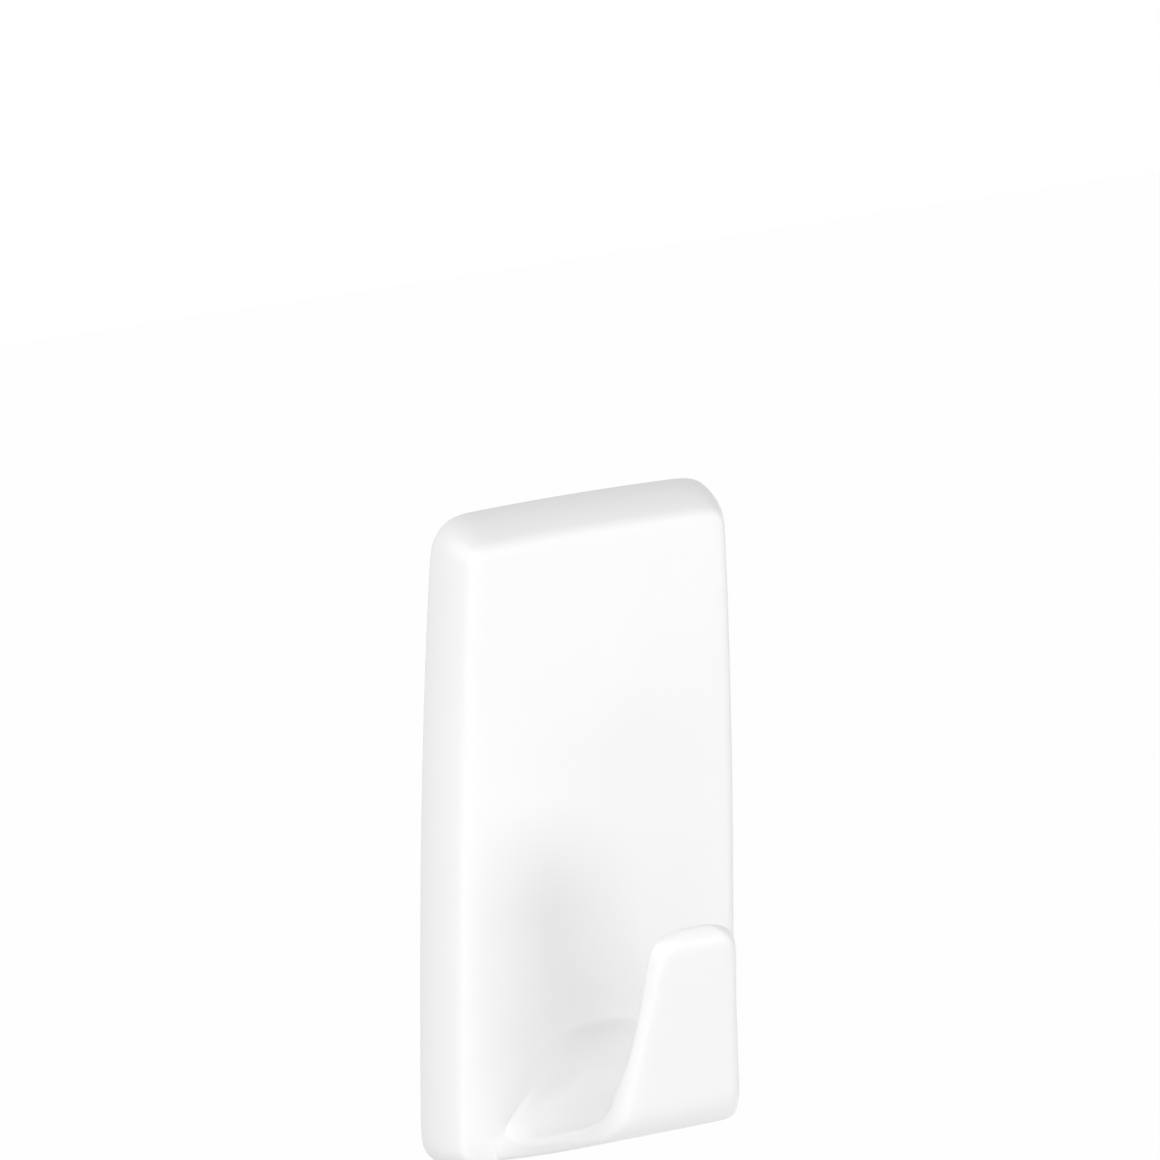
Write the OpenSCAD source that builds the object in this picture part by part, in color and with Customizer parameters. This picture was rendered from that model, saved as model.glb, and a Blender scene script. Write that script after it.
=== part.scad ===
// Adhesive wall hook: a cover with a hook lip slides down over a base plate,
// and a stretch-release strip bonds the base plate to the wall.
// Pieces are drawn flat on the wall (x across, y up, z out of it), then hung upright facing -Y.

/* [Cover] */
// Width of the cover's back edge at the foot
cover_w = 34; // [32:0.2:40]
// Width of the cover's back edge at the top
cover_top_w = 30.6; // [30:0.1:38]
// Height of the cover
cover_h = 66.8; // [64:0.2:80]
// Depth from the cover's back edge to its front face
cover_depth = 5.5; // [5.2:0.1:8]
// Thickness of the side and top walls
cover_wall = 1.6; // [1.2:0.1:1.8]
// Thickness of the front wall
front_wall = 1.7; // [1.2:0.1:1.8]
// Radius of the corners of the back edge
corner_r = 3.7; // [2:0.1:6]
// How far the walls lean in between the back edge and the rounded front edge
wall_lean = 1.5; // [0.5:0.1:2]
// How far the walls bulge out between the back edge and the rounded front edge
wall_bulge = 0.3; // [0:0.05:0.4]
// How far the rounded front edge runs in over the front face
edge_run = 1.2; // [0.8:0.1:3]
// How far the rounded front edge drops from the front face
edge_drop = 0.9; // [0.4:0.1:1.4]
// Rise of the top edge at its middle
top_crown = 0.2; // [0.1:0.1:1]
// Power of the side taper: 1 is a straight taper, more keeps the foot wide
side_power = 2.9; // [1.5:0.05:4]
// Share of the side taper that is left at the front face
front_taper_share = 0.75; // [0.3:0.05:1]

/* [Hook] */
// Distance from the front face to the lip's outer face, at the top of the lip
hook_reach = 20.2; // [16:0.2:25]
// Height of the top of the lip above the foot of the cover
lip_h = 29.9; // [24:0.1:36]
// Width of the lip at its top
lip_w = 9.2; // [7:0.2:12]
// Width that the hook's flare leads to at the cover's front
root_w = 26.4; // [22:0.2:27]
// Greatest width of the hook where it leaves the cover
root_max_w = 22.8; // [18:0.2:24]
// Power of the flare from the lip's width to the root's width
flare_power = 2.5; // [1.5:0.1:3.5]
// Thickness of the hook's blade
blade_t = 2.8; // [2:0.1:3.4]
// Radius of the lip's front edges
lip_front_r = 1.7; // [0.4:0.1:1.8]
// Radius of the lip's back edges
lip_back_r = 0.8; // [0.3:0.1:1]
// Radius of the lip's top edges
lip_top_r = 1.3; // [0.4:0.1:1.4]
// Radius of the hook's upper edges at the root
root_edge_r = 1.1; // [0.4:0.1:1.4]
// Radius of the hook's lower edges at the root
root_foot_r = 0.6; // [0.2:0.1:1]
// Thickness of the hook's edges where they leave the cover
root_rim_t = 1.3; // [0.8:0.1:2]
// How far the floor falls from its middle to its edges
floor_fall = 0.8; // [0:0.1:1.2]
// Radius of the corners at the top of the lip
lip_corner_r = 3.2; // [1:0.1:4]
// Radius of the bend that the blade's thickness is measured from
bend_r = 3.6; // [2:0.1:5]
// Inside radius of the filled corner between the floor and the lip
bend_fill_r = 7; // [4:0.1:9]
// Height of the hook's underside above the foot, at the front face
floor_h = 1.5; // [1.2:0.1:2.6]
// Slope of the hook's floor, rising to the front, in degrees
floor_rise = 24; // [10:1:28]
// Lean of the lip away from the wall, in degrees
lip_lean = 10; // [4:1:16]

/* [Scoop] */
// Height of the top of the scoop above the foot of the cover
scoop_h = 14.2; // [12:0.2:20]
// Width of the scoop at the hook's floor
scoop_w = 22; // [16:0.2:25]
// Power of the scoop's arch, from a parabola to a flat top
arch_power = 3; // [2:0.1:4]
// Share of the scoop's width that is left at its back
scoop_back_share = 0.65; // [0.5:0.05:0.95]
// How far the scoop's top edge slopes in
scoop_edge = 0.9; // [0.2:0.1:1.5]
// Depth of the scoop in the front face
scoop_d = 1.1; // [0.6:0.1:1.2]
// Radius of the hollow between the scoop's back and the floor
scoop_r = 4.4; // [2:0.1:5]

/* [Base plate] */
// Length of the base plate
base_l = 48; // [40:0.5:50]
// Width of the stem, which the strip bonds to
stem_w = 20.4; // [20.2:0.1:21]
// Thickness of the stem
stem_t = 1.4; // [1.2:0.1:1.5]
// Width across the two flanges
flange_w = 23.8; // [23:0.1:24.2]
// Thickness of the flanges
flange_t = 1.5; // [1:0.1:1.6]
// Size of the chamfers at the top of the flanges
flange_chamfer = 1.6; // [0.6:0.1:1.6]
// Depth of the hollows in the front of the base plate
relief_d = 0.8; // [0.4:0.1:1]
// Width of the ribs between and around those hollows
relief_rib = 2.2; // [1.4:0.1:3]
// Number of hollows
relief_n = 4; // [2:1:6]

/* [Slide fit] */
// Distance from the cover's top to the base plate's top edge
stop_drop = 6.5; // [5:0.1:8]
// Thickness of the ledge that rests on the base plate
ledge_t = 1.8; // [1.2:0.1:2.2]
// Clearance of the cover around the base plate
slide_clear = 0.25; // [0.15:0.05:0.4]
// Number of lugs in each side rail
lug_n = 4; // [3:1:6]
// Length of one lug
lug_l = 8; // [5:0.5:9]
// Distance from the ends of the base plate to the first and last lug
lug_inset = 2.4; // [1:0.1:5]
// Chamfer at the ends of a lug
lug_chamfer = 0.6; // [0.2:0.1:1]

/* [Adhesive strip] */
// Width of the strip
strip_w = 20; // [18:0.1:20]
// Length of the strip with its pull tab
strip_l = 54; // [50:0.5:56]
// Length of the pull tab
tab_l = 10; // [8:0.5:14]
// Thickness of the elastic core
core_t = 0.5; // [0.4:0.05:0.6]
// Thickness of each adhesive skin and of each tab film
skin_t = 0.1; // [0.05:0.01:0.15]
// Radius of the tab's corners
tab_r = 3; // [1:0.5:6]
// Radius of the corners at the top of the strip
strip_r = 1; // [0.5:0.1:3]
// Distance from the base plate's top edge down to the strip
strip_inset = 1; // [0.2:0.1:3]
// Gap between the strip and the cover's back edge
rim_clear = 0.25; // [0.15:0.05:0.4]

/* [Hidden] */

// Overrun of cuts past the surfaces that they open
over = 0.5;
// Smallest corner radius of the cover's outline
least_r = 0.05;
// Steps along a side, round a corner and along half of the top edge
side_steps = 12;
corner_steps = 7;
top_steps = 5;
// Steps up the bulged walls
wall_steps = 6;
// Steps round the front edge, round a bend and along a straight stretch of the blade
edge_steps = 6;
bend_steps = 9;
run_steps = 4;
// Steps round one rounded edge of the blade, across its inside, and along half of the scoop's outline
blade_edge_steps = 4;
blade_top_steps = 12;
scoop_steps = 12;
// Shares of the blade's edge that its upper radius, and both radii together, can take
upper_edge_share = 0.5;
edge_pair_share = 0.96;
$fn = 48;

// Levels out from the wall
strip_t = core_t + 2 * skin_t;
rim_z = strip_t + rim_clear;
front_z = rim_z + cover_depth;
edge_z = front_z - edge_drop;
hollow_z = front_z - front_wall;
scoop_z = front_z - scoop_d;
flange_z = strip_t + stem_t;
base_front_z = flange_z + flange_t;
passage_z = base_front_z + slide_clear;

// Heights above the foot of the cover
base_top = cover_h - stop_drop;
base_foot = base_top - base_l;
strip_top = base_top - strip_inset;
strip_foot = strip_top - strip_l;
tab_top = strip_foot + tab_l;
bond_mid = (strip_top + tab_top) / 2;
hollow_foot = scoop_h + cover_wall;

// Half widths of the slide fit
passage_hw = flange_w / 2 + slide_clear;
rail_hw = stem_w / 2 + slide_clear;

// Hang a piece that was drawn flat, with the middle of the bonded area at the origin
module hung() {
    rotate([90, 0, 0]) translate([0, -bond_mid, 0]) children();
}

function between(a, b, share) = a + (b - a) * share;
function turned(angle) = [cos(angle), sin(angle)];
function mirrored(points) = [for (i = [len(points) - 1:-1:0]) [-points[i][0], points[i][1]]];

// A solid through a stack of rings that have the same number of points
module loft(rings) {
    count = len(rings[0]);
    last = (len(rings) - 1) * count;
    points = [for (ring = rings) for (p = ring) p];
    side = [
        for (i = [0:len(rings) - 2]) for (j = [0:count - 1])
            let (a = i * count + j, b = i * count + (j + 1) % count)
            each [[a, a + count, b + count], [a, b + count, b]]
    ];
    foot = [[for (j = [0:count - 1]) j]];
    head = [[for (j = [count - 1:-1:0]) last + j]];
    polyhedron(points = points, faces = concat(side, foot, head), convexity = 6);
}

// Side taper of the cover's outline that is left at an inset, and the half width at a height with it
function taper_at(inset) =
    (cover_w - cover_top_w) / 2 * between(1, front_taper_share, inset / (wall_lean + edge_run));
function half_w(y, taper = taper_at(0)) = cover_w / 2 - taper * pow(y / cover_h, side_power);

// The cover's outline, drawn in by an inset, with the corners centred at one place while they can
function outline(inset) =
    let (
        k = max(corner_r, inset + least_r),
        r = k - inset,
        taper = taper_at(inset),
        top_hw = half_w(cover_h - k, taper) - k,
        side_turn = function (y) atan(taper * side_power * pow(y / cover_h, side_power - 1) / cover_h),
        top_turn = function (x) 90 - atan(2 * top_crown * x / top_hw / top_hw),
        top_y = function (x) cover_h - k + top_crown * (1 - x * x / top_hw / top_hw),
        foot_arc = [
            for (i = [0:corner_steps])
                [half_w(k, taper) - k, k] + r * turned(between(-90, side_turn(k), i / corner_steps))
        ],
        side = [
            for (i = [1:side_steps - 1])
                let (y = between(k, cover_h - k, i / side_steps))
                [half_w(y, taper) - k, y] + r * turned(side_turn(y))
        ],
        head_arc = [
            for (i = [0:corner_steps])
                let (turn = between(side_turn(cover_h - k), top_turn(top_hw), i / corner_steps))
                [top_hw, cover_h - k] + r * turned(turn)
        ],
        top = [
            for (i = [1:top_steps - 1])
                let (x = between(top_hw, 0, i / top_steps))
                [x, top_y(x)] + r * turned(top_turn(x))
        ],
        half = concat(foot_arc, side, head_arc, top)
    )
    concat(half, [[0, cover_h - inset + top_crown]], mirrored(half));

function ring_at(inset, z) = [for (p = outline(inset)) [p[0], p[1], z]];

// How far the wall leans in at a level
function lean_at(z) = wall_lean * (z - rim_z) / (edge_z - rim_z);

// Inset of the bulged wall at a share of its height, and its slope where the rounded edge begins
function wall_inset(share) = wall_lean * share - wall_bulge * sin(180 * share);
wall_slope = (wall_lean + PI * wall_bulge) / (edge_z - rim_z);

// The rounded front edge from the wall at 0 to the front face at 1, as [inset, z]
function edge_point(share) =
    let (
        first = [wall_lean, edge_z],
        meet = [wall_lean + wall_slope * edge_drop, front_z],
        last = [wall_lean + edge_run, front_z]
    )
    between(between(first, meet, share), between(meet, last, share), share);

// The cover's outside, with its leaning walls and the rounded edge of its front
module cover_body() {
    loft(concat(
        [
            for (i = [0:wall_steps - 1])
                let (share = i / wall_steps)
                ring_at(wall_inset(share), between(rim_z, edge_z, share))
        ],
        [
            for (i = [0:edge_steps])
                let (at = edge_point(i / edge_steps))
                ring_at(at[0], at[1])
        ]
    ));
}

// The space inside the walls, up to a level
module cover_hollow(top_z) {
    loft([
        ring_at(cover_wall + lean_at(rim_z - over), rim_z - over),
        ring_at(cover_wall + lean_at(top_z), top_z)
    ]);
}

// The hook's side view, as [z, y] points: the outer line of the lip meets that of the floor
bend_turn = 90 - lip_lean - floor_rise;
bend_outer_r = bend_r + blade_t;
lip_z = front_z + hook_reach;
meet_z = (lip_z - tan(lip_lean) * (lip_h - floor_h + tan(floor_rise) * front_z))
    / (1 - tan(lip_lean) * tan(floor_rise));
meet_y = floor_h + tan(floor_rise) * (meet_z - front_z);
bend_run = bend_outer_r * tan(bend_turn / 2);
floor_dir = turned(floor_rise);
lip_dir = turned(90 - lip_lean);
floor_end = [meet_z, meet_y] - bend_run * floor_dir;
lip_start = [meet_z, meet_y] + bend_run * lip_dir;
bend_mid = floor_end + bend_outer_r * turned(floor_rise + 90);
lip_l = (lip_h - lip_start[1]) / cos(lip_lean);
lip_end = lip_start + lip_l * lip_dir;
fill_mid = bend_mid + (bend_r - bend_fill_r) / cos(bend_turn / 2) * turned(floor_rise - 90 + bend_turn / 2);

// The hollow at the back of the floor is tangent to the scoop's back and to the floor's top
scoop_mid_z = scoop_z + scoop_r;
scoop_mid = [
    scoop_mid_z,
    floor_h + tan(floor_rise) * (scoop_mid_z - front_z) + (blade_t + scoop_r) / cos(floor_rise)
];
floor_start = scoop_mid + (scoop_r + blade_t) * turned(floor_rise - 90);
root_z = between(passage_z, scoop_z, 0.5);
root = [root_z, floor_h + tan(floor_rise) * (root_z - front_z)];
floor_l = norm(floor_end - floor_start);
floor_s = (floor_start[0] - front_z) / cos(floor_rise);
bend_s = floor_s + floor_l;
lip_s = bend_s + bend_outer_r * bend_turn * PI / 180;
blade_l = lip_s + lip_l;

// How much the blade is drawn in at the top of the lip, in thickness or in width
function drawn_in(s, r) = let (past = max(0, s - blade_l + r)) r - sqrt(max(0, r * r - past * past));

// Share of the flare at a distance along the blade's outside from the front face
function flare_share(s) = pow(1 - max(0, s) / blade_l, flare_power);

// Half width of the blade at that distance
function blade_hw(s) =
    min(root_max_w, between(lip_w, root_w, flare_share(s))) / 2 - drawn_in(s, lip_corner_r);

// Stations along the blade: [outer point, inner point, half width, upper radius, lower radius, fall]
function station(s, outer, inner) =
    let (
        inward = (inner - outer) / norm(inner - outer),
        draw = drawn_in(s, lip_top_r),
        flare = flare_share(s)
    )
    [
        outer + draw * inward, inner - draw * inward, blade_hw(s),
        between(lip_back_r, root_edge_r, flare), between(lip_front_r, root_foot_r, flare), floor_fall * flare
    ];
function scoop_station(share) =
    let (
        turn = between(180, 270 + floor_rise, share),
        outer = between(root, floor_start, share),
        inner = scoop_mid + scoop_r * turned(turn),
        st = station((outer[0] - front_z) / cos(floor_rise), outer, inner),
        deepest = norm(inner - outer) - root_rim_t
    )
    [st[0], st[1], st[2], st[3], st[4], between(deepest, st[5], share)];
function floor_station(share) =
    let (
        first = floor_start + blade_t * turned(floor_rise + 90),
        last = fill_mid + bend_fill_r * turned(floor_rise - 90)
    )
    station(
        between(floor_s, bend_s, share), between(floor_start, floor_end, share), between(first, last, share)
    );
function bend_station(share) =
    let (way = turned(floor_rise - 90 + bend_turn * share))
    station(
        between(bend_s, lip_s, share), bend_mid + bend_outer_r * way, fill_mid + bend_fill_r * way
    );
function lip_station(share) =
    let (
        first = fill_mid + bend_fill_r * turned(-lip_lean),
        last = lip_end + blade_t * turned(180 - lip_lean)
    )
    station(between(lip_s, blade_l, share), between(lip_start, lip_end, share), between(first, last, share));

lip_straight_share = 1 - lip_corner_r / lip_l;
stations = concat(
    [for (i = [0:bend_steps - 1]) scoop_station(i / bend_steps)],
    [for (i = [0:run_steps - 1]) floor_station(i / run_steps)],
    [for (i = [0:bend_steps]) bend_station(i / bend_steps)],
    [for (i = [1:run_steps]) lip_station(lip_straight_share * i / run_steps)],
    [for (i = [1:bend_steps]) lip_station(between(lip_straight_share, 1, sin(90 * i / bend_steps)))]
);

// One cross-section of the blade: flat outside, falling from the middle to the rounded edges inside
function blade_ring(st) =
    let (
        span = norm(st[1] - st[0]),
        dir = (st[1] - st[0]) / span,
        hw = st[2],
        edge_t = span - st[5],
        upper_r = min(st[3], edge_t * upper_edge_share),
        lower_r = min(st[4], edge_t * edge_pair_share - upper_r),
        level = function (x) span - st[5] * pow(abs(x) / hw, arch_power),
        turn = 90 - atan(st[5] * arch_power / hw),
        edge_x = hw - upper_r + upper_r * cos(turn),
        edge_y = level(edge_x) - upper_r * sin(turn),
        lower = [
            for (i = [0:blade_edge_steps])
                [hw - lower_r, lower_r] + lower_r * turned(90 * i / blade_edge_steps - 90)
        ],
        upper = [
            for (i = [0:blade_edge_steps])
                [hw - upper_r, edge_y] + upper_r * turned(turn * i / blade_edge_steps)
        ],
        top = [
            for (i = [1:blade_top_steps - 1])
                let (x = between(edge_x, -edge_x, i / blade_top_steps))
                [x, level(x)]
        ],
        section = concat(lower, upper, top, mirrored(upper), mirrored(lower))
    )
    [
        for (p = section)
            let (at = st[0] + p[1] * dir)
            [p[0], at[1], at[0]]
    ];

// The hook itself: from the hollow behind the floor, round the bend and up to the lip's rounded top
module hook_blade() {
    loft([for (st = stations) blade_ring(st)]);
}

// The scoop's arch at a share of its depth, from 0 at the front face to 1 at its back
function scoop_ring(share) =
    let (
        foot_y = floor_h + blade_t / 2,
        hw = scoop_w / 2 * between(1, scoop_back_share, share),
        top_y = scoop_h - scoop_edge * share
    )
    [
        for (i = [-scoop_steps:scoop_steps])
            let (across = i / scoop_steps)
            [
                hw * across,
                between(top_y, foot_y, pow(abs(across), arch_power)),
                between(front_z, scoop_z, share)
            ]
    ];

// The scoop's arch-shaped cutter, which leaves a leg of the front face on either side
module scoop_cutter() {
    loft([scoop_ring(-over / scoop_d), scoop_ring(1)]);
}

// One lug of a side rail, which runs in the groove behind the base plate's flange
module lug(y) {
    rail_t = flange_z - slide_clear - rim_z;
    reach = half_w(y) - cover_wall / 2 - rail_hw;
    hull() {
        translate([rail_hw, y + lug_chamfer, rim_z]) cube([reach, lug_l - 2 * lug_chamfer, rail_t]);
        translate([rail_hw + lug_chamfer, y, rim_z]) cube([reach - lug_chamfer, lug_l, rail_t]);
    }
}

module lugs() {
    first = base_foot + lug_inset;
    last = base_top - lug_inset - lug_l;
    intersection() {
        for (i = [0:lug_n - 1]) {
            y = between(first, last, i / (lug_n - 1));
            lug(y);
            mirror([1, 0, 0]) lug(y);
        }
        cover_body();
    }
}

// The ledge that hangs the cover on the base plate's top edge
module ledge() {
    ledge_hw = half_w(base_top) - wall_lean;
    intersection() {
        translate([-ledge_hw, base_top, rim_z]) cube([2 * ledge_hw, ledge_t, hollow_z - rim_z + over]);
        cover_body();
    }
}

// The inside of the cover: deep over the front, shallow behind the scoop, open at the foot
module cover_inside() {
    difference() {
        cover_hollow(hollow_z);
        translate([-cover_w / 2, -over, passage_z]) cube([cover_w, hollow_foot + over, front_z]);
    }
    translate([-passage_hw, -over, 0]) cube([2 * passage_hw, hollow_foot + over, passage_z]);
}

module hook_cover() {
    color("white") hung() {
        difference() {
            union() {
                difference() {
                    cover_body();
                    scoop_cutter();
                }
                hook_blade();
            }
            cover_inside();
        }
        lugs();
        ledge();
    }
}

// The base plate's front is hollowed between ribs
module base_relief() {
    cell_w = stem_w - 2 * relief_rib;
    cell_l = (base_l - relief_rib * (relief_n + 1)) / relief_n;
    for (i = [0:relief_n - 1])
        translate([-cell_w / 2, base_foot + relief_rib + i * (cell_l + relief_rib), base_front_z - relief_d])
            cube([cell_w, cell_l, relief_d + over]);
}

module base_plate() {
    stem_hw = stem_w / 2;
    flange_hw = flange_w / 2;
    flange_outline = [
        [-flange_hw, base_foot],
        [flange_hw, base_foot],
        [flange_hw, base_top - flange_chamfer],
        [flange_hw - flange_chamfer, base_top],
        [flange_chamfer - flange_hw, base_top],
        [-flange_hw, base_top - flange_chamfer]
    ];
    color("gainsboro") hung() {
        difference() {
            union() {
                translate([-stem_hw, base_foot, strip_t]) cube([stem_w, base_l, stem_t + flange_t / 2]);
                translate([0, 0, flange_z]) linear_extrude(flange_t) polygon(flange_outline);
            }
            base_relief();
        }
    }
}

// A sheet between two heights, with its foot and head corners rounded
module sheet_outline(foot_y, head_y, foot_r, head_r) {
    hw = strip_w / 2;
    union() {
        translate([-hw, foot_y + foot_r]) square([strip_w, head_y - head_r - foot_y - foot_r]);
        translate([-hw + foot_r, foot_y]) square([strip_w - 2 * foot_r, head_y - head_r - foot_y]);
        translate([-hw + head_r, foot_y + foot_r]) square([strip_w - 2 * head_r, head_y - foot_y - foot_r]);
        for (side = [-1, 1]) {
            translate([side * (hw - foot_r), foot_y + foot_r]) circle(foot_r);
            translate([side * (hw - head_r), head_y - head_r]) circle(head_r);
        }
    }
}

// The elastic middle of the strip, bonded part and pull tab in one
module strip_core() {
    color("cornsilk") hung()
        translate([0, 0, skin_t]) linear_extrude(core_t)
            sheet_outline(strip_foot, strip_top, tab_r, strip_r);
}

// One adhesive skin, over the bonded part of the strip
module adhesive_skin(z) {
    color("wheat") hung()
        translate([0, 0, z]) linear_extrude(skin_t) intersection() {
            sheet_outline(strip_foot, strip_top, tab_r, strip_r);
            translate([-strip_w / 2, tab_top]) square([strip_w, strip_top - tab_top]);
        }
}

// One dry film, over the pull tab
module tab_film(z) {
    color("whitesmoke") hung()
        translate([0, 0, z]) linear_extrude(skin_t) intersection() {
            sheet_outline(strip_foot, strip_top, tab_r, strip_r);
            translate([-strip_w / 2, strip_foot]) square([strip_w, tab_l]);
        }
}

module wall_adhesive() { adhesive_skin(0); }
module plate_adhesive() { adhesive_skin(skin_t + core_t); }
module tab_film_rear() { tab_film(0); }
module tab_film_front() { tab_film(skin_t + core_t); }

hook_cover();
base_plate();
strip_core();
wall_adhesive();
plate_adhesive();
tab_film_front();
tab_film_rear();
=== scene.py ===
"""Looks of an adhesive wall hook: a white cover on a base plate and a stretch-release strip.

Lengths in the classes are millimetres, measured as the hook hangs: u across, v up from the
cover's foot and w out of the wall. CoverMoulding.place turns them into the frame's metres.
"""

import logging
import math
from collections.abc import Callable, Iterator
from contextlib import contextmanager
from dataclasses import dataclass, field
from enum import Enum

import bpy
from mathutils import Matrix, Vector


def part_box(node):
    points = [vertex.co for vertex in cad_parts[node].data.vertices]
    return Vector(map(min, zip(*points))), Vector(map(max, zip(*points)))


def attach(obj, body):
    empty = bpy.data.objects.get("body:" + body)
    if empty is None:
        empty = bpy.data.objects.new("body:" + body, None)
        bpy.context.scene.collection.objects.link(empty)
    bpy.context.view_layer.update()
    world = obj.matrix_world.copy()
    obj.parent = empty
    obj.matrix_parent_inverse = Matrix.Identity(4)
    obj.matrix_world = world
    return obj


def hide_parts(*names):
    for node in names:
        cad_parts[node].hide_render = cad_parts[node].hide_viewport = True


LOG = logging.getLogger("wall_hook")
MM = 0.001
Point = tuple[float, float, float]
Colour = tuple[float, float, float, float]
Socket = bpy.types.NodeSocket

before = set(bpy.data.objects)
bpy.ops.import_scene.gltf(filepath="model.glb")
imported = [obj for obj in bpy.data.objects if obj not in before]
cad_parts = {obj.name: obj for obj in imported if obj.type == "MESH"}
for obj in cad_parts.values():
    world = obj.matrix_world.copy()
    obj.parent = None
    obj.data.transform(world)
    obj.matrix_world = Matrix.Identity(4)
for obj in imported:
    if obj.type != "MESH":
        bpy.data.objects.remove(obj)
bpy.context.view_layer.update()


def between(a: float | Vector, b: float | Vector, share: float) -> float | Vector:
    """The value, or the point, at a share of the way from a to b."""
    return a + (b - a) * share


def eased_min(a: float, b: float, blend: float) -> float:
    """The lesser of two numbers, rounded off where they're alike.

    Args:
        a: One number.
        b: The other number.
        blend: Twice the amount that is taken off where both are the same.

    Returns:
        The number.
    """
    return (a + b - math.hypot(a - b, blend)) / 2


def turned(angle: float) -> Vector:
    """A unit vector in the plane, turned from the first axis by an angle in degrees."""
    return Vector((math.cos(math.radians(angle)), math.sin(math.radians(angle))))


def choose(thing: bpy.types.Object) -> None:
    """Make an object the only selected one and the active one."""
    for other in bpy.context.selected_objects:
        other.select_set(False)
    thing.select_set(True)
    bpy.context.view_layer.objects.active = thing


@contextmanager
def edit_mode(thing: bpy.types.Object) -> Iterator[None]:
    """Edit an object's mesh while the block runs.

    Args:
        thing: The mesh object.
    """
    choose(thing)
    bpy.ops.object.mode_set(mode="EDIT")
    try:
        yield
    finally:
        bpy.ops.object.mode_set(mode="OBJECT")


def apply_modifier(thing: bpy.types.Object, kind: str, **settings: object) -> None:
    """Add a modifier, set it and apply it.

    Args:
        thing: The mesh object.
        kind: The modifier's type.
        settings: Values of the modifier's properties.
    """
    choose(thing)
    modifier = thing.modifiers.new(kind.lower(), kind)
    for name, value in settings.items():
        setattr(modifier, name, value)
    bpy.ops.object.modifier_apply(modifier=modifier.name)


class Select(Enum):
    """Parts of a mesh that a selection is made of."""

    EDGES = (False, True, False)
    FACES = (False, False, True)


def clear_selection(thing: bpy.types.Object, kind: Select) -> None:
    """Deselect all of a mesh, and select by one kind of part from then on.

    Args:
        thing: The mesh object.
        kind: Edges or faces.
    """
    bpy.context.tool_settings.mesh_select_mode = kind.value
    with edit_mode(thing):
        bpy.ops.mesh.select_all(action="DESELECT")


def face_outwards() -> None:
    """Turn all faces of the mesh in edit mode outwards."""
    bpy.ops.mesh.select_all(action="SELECT")
    bpy.ops.mesh.normals_make_consistent(inside=False)


class Combine(Enum):
    """Ways to put a tool solid to use."""

    JOIN = "UNION"
    CUT = "DIFFERENCE"


def combine(thing: bpy.types.Object, tool: bpy.types.Object, way: Combine) -> None:
    """Join a tool to an object or cut it out, and delete the tool.

    Args:
        thing: The mesh object that stays.
        tool: The mesh object that is used up.
        way: Whether the tool is joined or cut out.
    """
    apply_modifier(thing, "BOOLEAN", object=tool, operation=way.value, solver="EXACT")
    bpy.data.objects.remove(tool)


@dataclass
class Station:
    """One cross-section of the hook, with its places given as (w, v).

    Attributes:
        inner: Middle of the side that holds the load.
        outer: Middle of the other side.
        half: Half width.
        inner_r: Radius of the two edges at the inner side.
        outer_r: Radius of the two edges at the outer side.
        fall: How far the inner side falls away from its middle to its edges.
        open: 0 where the inner side still follows the scoop's arch, 1 where it is an edged floor.
    """

    inner: Vector
    outer: Vector
    half: float
    inner_r: float
    outer_r: float
    fall: float
    open: float = 1.0

    # Shares of the flat width at which the lengthwise edge loops run
    FLAT_SHARES = (-1.0, -0.62, -0.3, 0.0, 0.3, 0.62, 1.0)
    # Share of a radius by which the middle of a rounded corner is drawn in
    CORNER_SHARE = 1 - math.sqrt(0.5)
    # Largest shares of the thickness for an inner edge, and of the rest for an outer edge
    INNER_LIMIT = 0.5
    OUTER_LIMIT = 0.94
    # Shares of the outer radius by which the outer side's two edge points are drawn in and lie deep
    OUTER_DRAWS = (0.6, 0.28)
    OUTER_DEPTHS = (0.22, 0.6)
    # Shares of the half width at which the loops run on the scoop's arch, and the arch's power
    ARCH_FLAT = 0.52
    ARCH_EDGES = {3: 0.66, 2: 0.8, 1: 0.92}
    ARCH_POWER = 3.0

    def point(self, loop: int, level: int) -> Point:
        """A point of the cross-section.

        Args:
            loop: Lengthwise loop, from 0 at the left edge to 8 at the right edge.
            level: Level from 0 at the outer side to 3 at the inner side.

        Returns:
            The point as (u, v, w).
        """
        span = (self.outer - self.inner).length
        inner = min(self.inner_r, span * self.INNER_LIMIT)
        outer = min(self.outer_r, (span - inner) * self.OUTER_LIMIT)
        last = len(self.FLAT_SHARES) + 1
        edge = loop in (0, last)
        flat = 0.0 if edge else self.FLAT_SHARES[loop - 1]
        side = -1.0 if loop == 0 else 1.0
        if level == 0:
            drawn = self.OUTER_DRAWS[0] * outer if edge else outer
            u = (side if edge else flat) * (self.half - drawn)
            depth = span - self.OUTER_DEPTHS[0] * outer if edge else span
        else:
            arch = side * self.ARCH_EDGES[level] if edge else flat * self.ARCH_FLAT
            draws = (self.OUTER_DRAWS[1] * outer, 0.0, self.CORNER_SHARE * inner)
            drawn = draws[level - 1] if edge else inner
            floor = (side if edge else flat) * (1 - drawn / self.half)
            sunk = (0.0, inner, self.CORNER_SHARE * inner)[level - 1] if edge else 0.0
            arched = self.fall * abs(arch) ** self.ARCH_POWER
            floored = self.fall * abs(floor) ** self.ARCH_POWER + sunk
            if edge and level == 1:
                floored = span - self.OUTER_DEPTHS[1] * outer
            u = self.half * between(arch, floor, self.open)
            depth = min(between(arched, floored, self.open), span)
        w, v = between(self.inner, self.outer, depth / span)
        return u, v, w


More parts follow.
